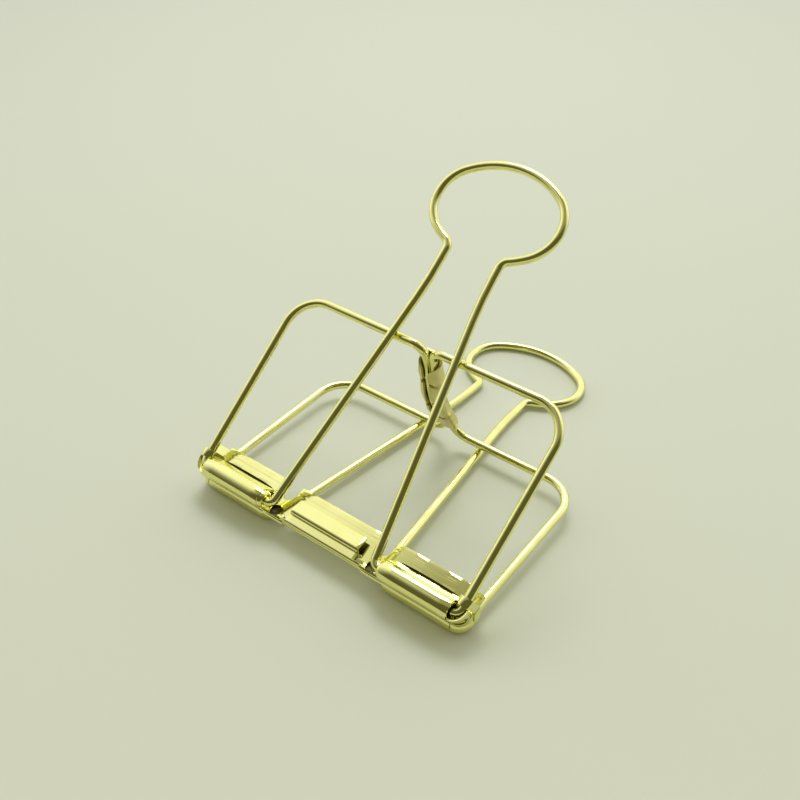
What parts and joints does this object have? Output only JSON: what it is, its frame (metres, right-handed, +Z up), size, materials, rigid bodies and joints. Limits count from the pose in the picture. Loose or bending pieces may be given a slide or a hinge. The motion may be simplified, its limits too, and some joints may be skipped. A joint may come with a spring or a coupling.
{
  "type": "letter clip",
  "caption": "Sprung wire-frame letter clip with folded sheet jaws and looped wire handles that pinch a stack of papers",
  "frame": {"origin": "On the surface that the clip lies on, under the middle of its bounding box", "axes": "+X runs along the jaws, to the right as seen from the mouth; +Y runs from the mouth towards the spine and the loops of the handles; +Z is up from the surface, with the clip lying on its rear jaw and rear handle"},
  "size_m": [0.0514, 0.0654, 0.0443],
  "materials": {
    "wire_gold": "bright pale gold plating on drawn spring wire",
    "sheet_gold": "bright pale gold plating on folded sheet",
    "crimped_gold": "pale gold plating, duller and creased by the crimp"
  },
  "bodies": {
    "rear_side": {"rear_jaw": "sheet_gold", "rear_left_leg": "wire_gold", "rear_right_leg": "wire_gold"},
    "spine": {"left_spine_wire": "wire_gold", "right_spine_wire": "wire_gold", "spine_sleeve": "crimped_gold"},
    "front_side": {"front_jaw": "sheet_gold", "front_left_leg": "wire_gold", "front_right_leg": "wire_gold"},
    "front_handle": {"front_handle": "wire_gold"},
    "rear_handle": {"rear_handle": "wire_gold"}
  },
  "joints": [
    {"name": "rear_rail_twist", "type": "hinge", "parent": "rear_side", "child": "spine", "pos_m": [0, 0.00132, 0.00261], "axis": [-1, 0, 0], "range_deg": [0, 20], "stiffness_Nm_per_rad": 0.5, "springref_deg": -17.19},
    {"name": "front_rail_twist", "type": "hinge", "parent": "spine", "child": "front_side", "pos_m": [0, -0.00577, 0.02322], "axis": [-1, 0, 0], "range_deg": [0, 20]},
    {"name": "front_handle_turn", "type": "hinge", "parent": "front_side", "child": "front_handle", "pos_m": [0, -0.03113, 0.00472], "axis": [1, 0, 0], "range_deg": [0, 160]},
    {"name": "rear_handle_turn", "type": "hinge", "parent": "rear_side", "child": "rear_handle", "pos_m": [0, -0.03006, 0.0016], "axis": [-1, 0, 0], "range_deg": [0, 160]}
  ],
  "couplings": [
    {"joint": "front_rail_twist", "follows": "rear_rail_twist", "ratio": 1}
  ]
}
